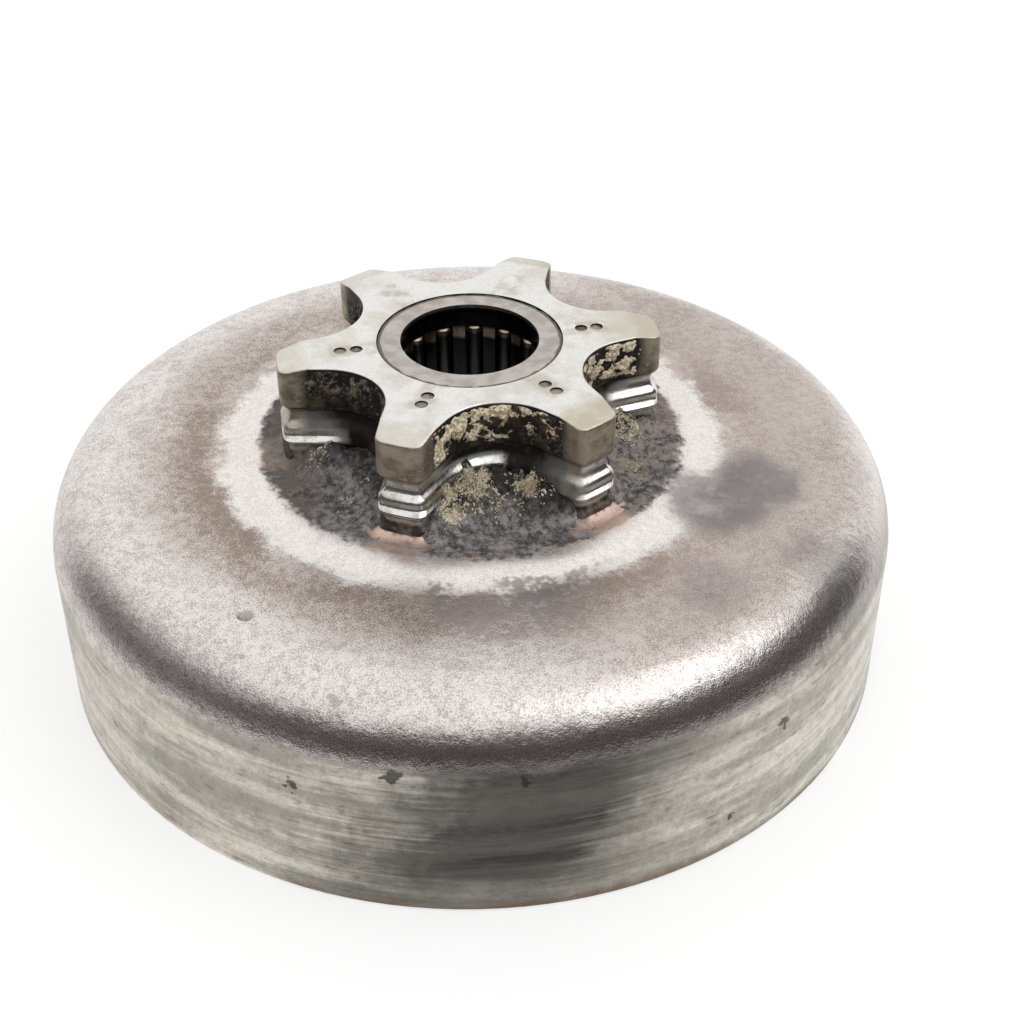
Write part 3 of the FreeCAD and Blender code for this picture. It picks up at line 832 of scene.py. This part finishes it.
dress(nodes["bearing_cup"], cup_finish())
dress(nodes["bearing_cage"], shaded_greased_finish("cage_steel", CAGE_STEEL_IN_SHADE, CAGE_END_HIGHLIGHT, 3.5, 2.5))
needle_steel = shaded_greased_finish("needle_steel", NEEDLE_STEEL_IN_SHADE, NEEDLE_END_HIGHLIGHT, 3.0, 0.0)
needles = [name for name in nodes if name.startswith("needle")]
for name in needles:
    dress(nodes[name], needle_steel)
print("needles dressed:", len(needles))

# %% [markdown]
# Dirt has thickness, so it is modelled and not only painted. In each gap between two teeth a
# bank of oily dust leans against the wall, and higher up a crust of baked sawdust sticks to
# the steel. Both are lumpy skins: a grid is made twice, as an outer and an inner side, and a
# rule then puts each of its points in place. Where the rule asks for no dirt the skin dives
# into the steel, which frays its edge in a natural way.

# %% A gap between two teeth
GAP_MIDDLE = 17.04
GAP_RADIUS = 5.64
FLANK_LEAN = math.radians(49.0)
FLANK_LENGTH = 3.6
ARC_HALF = GAP_RADIUS * FLANK_LEAN
GAP_HALF = ARC_HALF + FLANK_LENGTH


def gap_turn(gap):
    """The angle of the middle of a gap, counted from the gap after the first tooth."""
    return (gap + 0.5) * TOOTH_STEP


def gap_wall(run):
    """The wall of a gap that lies along +X: a point on it and the way out of the steel."""
    lean = max(-FLANK_LEAN, min(FLANK_LEAN, run / GAP_RADIUS))
    out = Vector((-math.cos(lean), -math.sin(lean), 0))
    point = Vector((GAP_MIDDLE, 0, 0)) + out * GAP_RADIUS
    beyond = run - lean * GAP_RADIUS
    return point + Vector((-out.y, out.x, 0)) * beyond, -out


def depth_in_gap(x, y):
    """How far a point of that gap lies from the wall, with points inside the steel below zero."""
    from_middle = Vector((x - GAP_MIDDLE, y))
    lean = math.atan2(-from_middle.y, -from_middle.x)
    lean = max(-FLANK_LEAN, min(FLANK_LEAN, lean))
    return GAP_RADIUS + from_middle.x * math.cos(lean) + from_middle.y * math.sin(lean)


def turned_about_axis(point, turn):
    """The point after a turn about the drum's axis."""
    cosine, sine = math.cos(turn), math.sin(turn)
    return Vector((point.x * cosine - point.y * sine, point.x * sine + point.y * cosine, point.z))


def lumps(point, size, octaves=4):
    """Cloudy noise about zero at a place in millimetres."""
    return noise.fractal(point / size, 0.9, 2.0, octaves)


def lumpy_skin(name, columns, rows, place, keep=None):
    """A closed skin whose points are put in place by their share of the width and height."""
    bpy.ops.object.select_all(action="DESELECT")
    bpy.ops.mesh.primitive_grid_add(x_subdivisions=columns, y_subdivisions=rows, size=1)
    piece = bpy.context.object
    piece.name = name
    piece.data.name = name
    if keep:
        delete_points(piece, lambda point: not keep(point.x, point.y))
    bpy.ops.object.mode_set(mode="EDIT")
    bpy.ops.mesh.select_all(action="SELECT")
    bpy.ops.mesh.extrude_region_move(TRANSFORM_OT_translate={"value": (0, 0, -1)})
    bpy.ops.object.mode_set(mode="OBJECT")
    for vertex in piece.data.vertices:
        vertex.co = place(vertex.co.x, vertex.co.y, vertex.co.z < -0.5) * MM
    bpy.ops.object.mode_set(mode="EDIT")
    bpy.ops.mesh.select_all(action="SELECT")
    bpy.ops.mesh.normals_make_consistent(inside=False)
    bpy.ops.object.mode_set(mode="OBJECT")
    bpy.ops.object.shade_smooth()
    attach(piece, "drum")
    return piece


print("gap wall runs", round(2 * GAP_HALF, 1), "mm from tip to tip")

# %% [markdown]
# The banks come first. On the saw, chain oil and wood dust pack into the corner at the foot of
# the teeth and thin out towards the open end. A height for each point of a fine grid gives
# that shape: a heap along the wall, a film with lumps further out, and an edge that frays.
# The front gaps hold the most, so each gap has its own height of heap.

# %% Grime banks on the drum
BANK_REACH = 20.8
BANK_CELLS = 96
BANK_SINK = 0.25
BANK_RISE = (1.8, 1.5, 1.7, 2.2, 3.4, 2.6)
BANK_LEFT = 10.0
BANK_LONG = 11.6
BANK_WIDE = 17.4
BANK_INTO_WALL = -0.7
HEAP_SPREAD = 2.8
OPEN_END = 18.4
OPEN_FADE = 4.0
FILM_THICK = 0.1
FRAY_START = 18.6
FRAY_SLOPE = 0.22


def bank_height(x, y, gap):
    """Height of the dirt above the boss: high in the corner at the wall, thin further out."""
    away = depth_in_gap(x, y)
    reach = math.hypot(x, y)
    place = turned_about_axis(Vector((x, y, 0)), gap_turn(gap))
    heap = BANK_RISE[gap] * math.exp(-(max(away, 0.0) / HEAP_SPREAD) ** 2)
    closed = max(0.0, min(1.0, (OPEN_END - reach) / OPEN_FADE))
    film = FILM_THICK + 0.16 * lumps(place, 2.4) + 0.12 * lumps(place, 0.6, 3)
    edge = max(0.0, reach - FRAY_START - 1.3 * lumps(place, 1.8)) * FRAY_SLOPE
    return heap * closed * (1 + 0.45 * lumps(place, 1.6)) + film - edge - FILM_THICK * (1 - closed)


def bank_piece(gap):
    """The bank of one gap, cut to the gap's outline."""
    def spot(u, v):
        return BANK_LEFT + (u + 0.5) * BANK_LONG, v * BANK_WIDE

    def keep(u, v):
        x, y = spot(u, v)
        return depth_in_gap(x, y) > BANK_INTO_WALL and math.hypot(x, y) < BANK_REACH

    def place(u, v, under):
        x, y = spot(u, v)
        height = -BANK_SINK if under else max(bank_height(x, y, gap), 0.05 - BANK_SINK)
        return turned_about_axis(Vector((x, y, BOSS_HEIGHT + height)), gap_turn(gap))

    return lumpy_skin(f"grime_bank_{gap + 1}", BANK_CELLS, int(BANK_CELLS * 1.5), place, keep)


banks = [bank_piece(gap) for gap in range(TEETH)]
print("grime banks:", [len(piece.data.polygons) for piece in banks])

# %% [markdown]
# Above the chain's track the walls of the gaps carry a crust of sawdust, baked hard by the hot
# clutch. It is the same kind of skin, stood upright: a strip that follows the wall from tip to
# tip, with its thickness from noise. It stays off the rubbed tips and thins towards its edges.

# %% Crust on the walls of the gaps
CRUST_LOW = BOSS_HEIGHT + 6.1
CRUST_SINK = 0.45
CRUST_COLUMNS = 130
CRUST_ROWS = 36
CRUST_THICK = (0.3, 0.25, 0.3, 0.4, 0.62, 0.55)
CRUST_BARE = 0.6
CRUST_FADE = 2.5
EDGE_ROUND = 0.3
BEVEL_DROP = 0.6
BEVEL_SLOPE = BEVEL_DROP / BEVEL_WIDTH


def crust_piece(gap):
    """The crust on the wall of one gap."""
    def place(u, v, under):
        run = u * 2 * GAP_HALF
        wall, out = gap_wall(run)
        bevel_drop = max(0.0, wall.length - BEVEL_START) * BEVEL_SLOPE
        high = TOP_HEIGHT - bevel_drop - EDGE_ROUND * 0.7
        height = CRUST_LOW + (v + 0.5) * (high - CRUST_LOW)
        here = turned_about_axis(Vector((wall.x, wall.y, height)), gap_turn(gap))
        near_end = max(0.0, min(1.0, (GAP_HALF - CRUST_BARE - abs(run)) / CRUST_FADE))
        near_edge = min(1.0, (v + 0.5) / 0.35, (0.5 - v) / 0.08)
        lump = 0.5 + 0.9 * lumps(here, 1.5) + 0.45 * lumps(here, 0.4, 3)
        thick = CRUST_THICK[gap] * (lump * min(near_end, near_edge) - 0.25)
        grow = -CRUST_SINK if under else max(thick, 0.05 - CRUST_SINK)
        point = wall + out * grow
        return turned_about_axis(Vector((point.x, point.y, height)), gap_turn(gap))

    return lumpy_skin(f"baked_crust_{gap + 1}", CRUST_COLUMNS, CRUST_ROWS, place)


crusts = [crust_piece(gap) for gap in range(TEETH)]
print("crusts:", [len(piece.data.polygons) for piece in crusts])

# %% [markdown]
# Oil creeps out between the pressed-in bearing and the sprocket and holds dust there, as a thin
# dark line. A ring is laid into the seam and its points are moved up and down by noise, so
# that the line comes and goes.

# %% Grime in the seam around the bearing
SEAM_WIDTH = 0.26
SEAM_DEPTH = 0.33
SEAM_LUMPS = 0.12

bpy.ops.object.select_all(action="DESELECT")
bpy.ops.mesh.primitive_torus_add(
    major_radius=(CUP_RADIUS - SEAM_WIDTH) * MM, minor_radius=SEAM_WIDTH * MM,
    major_segments=120, minor_segments=12, location=(0, 0, (TOP_HEIGHT - SEAM_DEPTH) * MM),
)
seam_grime = bpy.context.object
seam_grime.name = "seam_grime"
bpy.ops.object.transform_apply(location=True)
for vertex in seam_grime.data.vertices:
    vertex.co.z += SEAM_LUMPS * MM * lumps(vertex.co / MM, 0.9, 3)
bpy.ops.object.shade_smooth()
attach(seam_grime, "drum")
print("seam ring:", len(seam_grime.data.polygons), "faces")

# %% [markdown]
# The banks get the same colours and the same noise as the film on the drum, so that no edge
# shows where one meets the other. Pale wood dust lies on them in a few heaps, each given by
# its gap, distance, angle and size, and one place in the front gap is wet with oil. Where the
# banks rise into the corner at the wall they are painted darker, as painted shade.

# %% Finish of the banks
CREAM = (0.9, 0.83, 0.66)
TAN = (0.42, 0.31, 0.165)
WOOD_HEAPS = (
    (4, 12.9, 262, 2.4),
    (4, 14.2, 254, 2.0),
    (4, 15.7, 254.5, 2.0),
    (4, 13.9, 283, 2.2),
    (5, 14.6, 343, 2.8),
)
WET_PLACE = (4, 13.4, 290)
WET_SIZE = 6.0


def on_bank(gap, far, turn):
    """The place on a bank's surface at that distance and angle."""
    local = turned_about_axis(polar(far, turn, 0), -gap_turn(gap))
    return polar(far, turn, BOSS_HEIGHT + bank_height(local.x, local.y, gap))


def bank_finish(heaps):
    """The same grey dirt as the film around it, with painted shade where it rises to the wall and pale
    wood dust in heaps.
    """
    f = Finish("caked_grime")
    grain, speck, mottle = shared_noises(f)
    colour = grime_colour(f, mottle, speck, grain)
    # Painted shade: the bank darkens as it rises into the corner at the wall; the wet place is dark
    # with oil.
    shade = f.rise(f.z, BOSS_HEIGHT + 0.6, BOSS_HEIGHT + 3.0, 0.0, 0.8)
    wet = f.spot(on_bank(*WET_PLACE), WET_SIZE, mottle, 3.0)
    colour = f.mix(f.either(shade, f.times(wet, 0.85)), colour, BAKED_OIL_AND_SHADE)
    frayed = f.shaken(f.shaken(mottle, speck, 1.2), grain, 0.6)
    wood = f.either(*(f.spot(centre, width, frayed, 2.6) for centre, width in heaps))
    wood = f.rise(f.times(wood, f.shaken(f.shaken(speck, grain, 1.2), mottle, 1.2)), 0.32, 0.58)
    wood_colour = f.mix(f.rise(f.shaken(speck, grain, 0.6), 0.42, 0.72), CREAM, TAN)
    colour = f.mix(wood, colour, wood_colour)
    relief = f.bump(speck, 0.1, f.bump(grain, 0.07))
    return f.surface(
        base_color=colour, roughness=0.75, normal=relief, specular_ior_level=DIRT_SHINE
    )


bank_dirt = bank_finish([(on_bank(gap, far, turn), width) for gap, far, turn, width in WOOD_HEAPS])
for piece in banks:
    dress(piece, bank_dirt)
print("banks dressed:", len(banks), "with", len(WOOD_HEAPS), "heaps of wood dust")

# %% [markdown]
# The crusts are black with oil where they are old, and show pale wood where they are fresh,
# mostly high up in the two front gaps. A level that falls towards the top lets more of the
# noise through as wood. The other gaps get a browner and older wood.

# %% Finish of the crusts and the seam
OLD_WOOD = (0.24, 0.2, 0.145)
OLD_BROWN = (0.12, 0.094, 0.064)
SEAM_DIRT = (0.16, 0.135, 0.115)
FRESH_GAPS = (4, 5)
CRUST_HEAPS = (
    (polar(12.2, 258, TOP_HEIGHT - 1.4), 5.4),
    (polar(11.8, 337, TOP_HEIGHT - 1.0), 3.6),
    (polar(14.4, 350, TOP_HEIGHT - 1.2), 4.2),
)


def crust_finish(name, pale, brown, level_low, level_high, heaps=()):
    """Black oily dirt with grey dust, and wood in heaps and towards the top of the teeth."""
    f = Finish(name)
    grain = f.noise(0.3, detail=2.0, rough=0.65)
    mottle = f.noise(1.1, detail=3.0, rough=0.6, shift=2.0)
    cloud = f.noise(4.0, detail=2.0, shift=6.0)
    colour = f.mix(f.rise(f.shaken(mottle, cloud, 0.4), 0.42, 0.7), BAKED_OIL_AND_SHADE, OIL_BROWN)
    colour = f.mix(f.times(f.rise(grain, 0.5, 0.75), 0.5), colour, GRIME_GREY)
    share = f.rise(f.z, TOP_HEIGHT - 3.4, TOP_HEIGHT - 1.0, level_low, level_high)
    for centre, width in heaps:
        heap = f.spot(centre, width, mottle, 2.0)
        share = f.sum("SUBTRACT", share, f.times(heap, 0.22))
    loose = f.sum("SUBTRACT", f.shaken(f.shaken(mottle, cloud, 0.7), grain, 0.5), share)
    wood = f.rise(loose, -0.03, 0.05)
    colour = f.mix(wood, colour, f.mix(f.rise(grain, 0.4, 0.62), pale, brown))
    return f.surface(
        base_color=colour, roughness=f.blend(wood, f.rise(mottle, 0.35, 0.65, 0.32, 0.7), 0.85),
        normal=f.bump(grain, 0.12), specular_ior_level=DIRT_SHINE,
    )


pale_crust = crust_finish("pale_crust", CREAM, TAN, 0.66, 0.5, CRUST_HEAPS)
dark_crust = crust_finish("dark_crust", OLD_WOOD, OLD_BROWN, 0.72, 0.54)
for gap, piece in enumerate(crusts):
    dress(piece, pale_crust if gap in FRESH_GAPS else dark_crust)
seam_dirt = Finish("seam_dirt")
dress(seam_grime, seam_dirt.surface(base_color=SEAM_DIRT, roughness=0.6))
print("crusts dressed:", len(crusts), "of them fresh:", len(FRESH_GAPS))

# %% [markdown]
# Loose crumbs of wood lie on the grime. A small ball with twenty faces is made once, and each
# crumb is a squeezed, dented and turned copy of it. They gather in heaps: each row gives a
# heap's gap, distance, angle, width and count of clumps. All crumbs together are one piece.

# %% Crumbs of wood
CRUMB_SMALL = 0.05
CRUMB_LARGE = 0.2
CLUMP = 12
CLUMP_WIDTH = 0.28
CRUMB_SEED = 41
HEAPS = (
    (4, 12.9, 262, 1.6, 34),
    (4, 14.2, 254, 1.4, 26),
    (4, 13.4, 270, 1.8, 16),
    (4, 15.7, 255, 1.4, 26),
    (4, 13.9, 283, 2.0, 22),
    (3, 14.8, 194, 1.6, 10),
    (3, 16.0, 215, 2.6, 6),
    (5, 14.6, 343, 1.8, 26),
    (5, 17.0, 328, 2.0, 10),
    (0, 14.5, 30, 2.6, 10),
    (1, 14.5, 90, 2.6, 8),
    (2, 14.5, 150, 2.6, 10),
)

random.seed(CRUMB_SEED)
bpy.ops.object.select_all(action="DESELECT")
bpy.ops.mesh.primitive_ico_sphere_add(subdivisions=1, radius=1)
pattern = bpy.context.object
pattern_points = [vertex.co.copy() for vertex in pattern.data.vertices]
pattern_faces = [tuple(face.vertices) for face in pattern.data.polygons]
bpy.data.objects.remove(pattern)

crumb_points = []
crumb_faces = []


def add_crumb(gap, place):
    """One crumb that lies on the bank of a gap, left out where it would stick in the steel."""
    local = turned_about_axis(place, -gap_turn(gap))
    size = random.uniform(CRUMB_SMALL, CRUMB_LARGE) * random.uniform(0.6, 1.0)
    if depth_in_gap(local.x, local.y) < size * 0.5 or local.length > RING_INNER:
        return
    ground = max(bank_height(local.x, local.y, gap), 0.0)
    place = Vector((place.x, place.y, BOSS_HEIGHT + ground + size * 0.2))
    spin = Euler([random.uniform(0, math.tau) for _ in range(3)]).to_matrix()
    shape = Vector((random.uniform(0.7, 1.5), random.uniform(0.6, 1.0), random.uniform(0.3, 0.7)))
    start = len(crumb_points)
    for point in pattern_points:
        dented = point * shape * random.uniform(0.75, 1.2)
        crumb_points.append((place + spin @ dented * size) * MM)
    crumb_faces.extend(tuple(start + corner for corner in face) for face in pattern_faces)


for gap, far, turn, width, clumps in HEAPS:
    for _ in range(clumps):
        aside = Vector((random.gauss(0, width / 2), random.gauss(0, width / 2), 0))
        middle = polar(far, turn, 0) + aside
        for _ in range(random.randint(CLUMP // 3, CLUMP)):
            place = middle + Vector((random.gauss(0, CLUMP_WIDTH), random.gauss(0, CLUMP_WIDTH), 0))
            add_crumb(gap, place)

crumb_mesh = bpy.data.meshes.new("wood_crumbs")
crumb_mesh.from_pydata(crumb_points, [], crumb_faces)
crumbs = bpy.data.objects.new("wood_crumbs", crumb_mesh)
bpy.context.scene.collection.objects.link(crumbs)
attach(crumbs, "drum")


def crumb_finish():
    """Pale wood, some of it browned with oil."""
    f = Finish("wood_crumb")
    tint = f.noise(0.9, detail=2.0)
    grain = f.noise(0.15, detail=2.0)
    colour = f.mix(f.rise(tint, 0.45, 0.66), CREAM, TAN)
    colour = f.mix(f.times(grain, 0.3), colour, OIL_BROWN)
    return f.surface(base_color=colour, roughness=0.85, normal=f.bump(grain, 0.03))


dress(crumbs, crumb_finish())
print("crumbs:", len(crumb_faces) // len(pattern_faces))
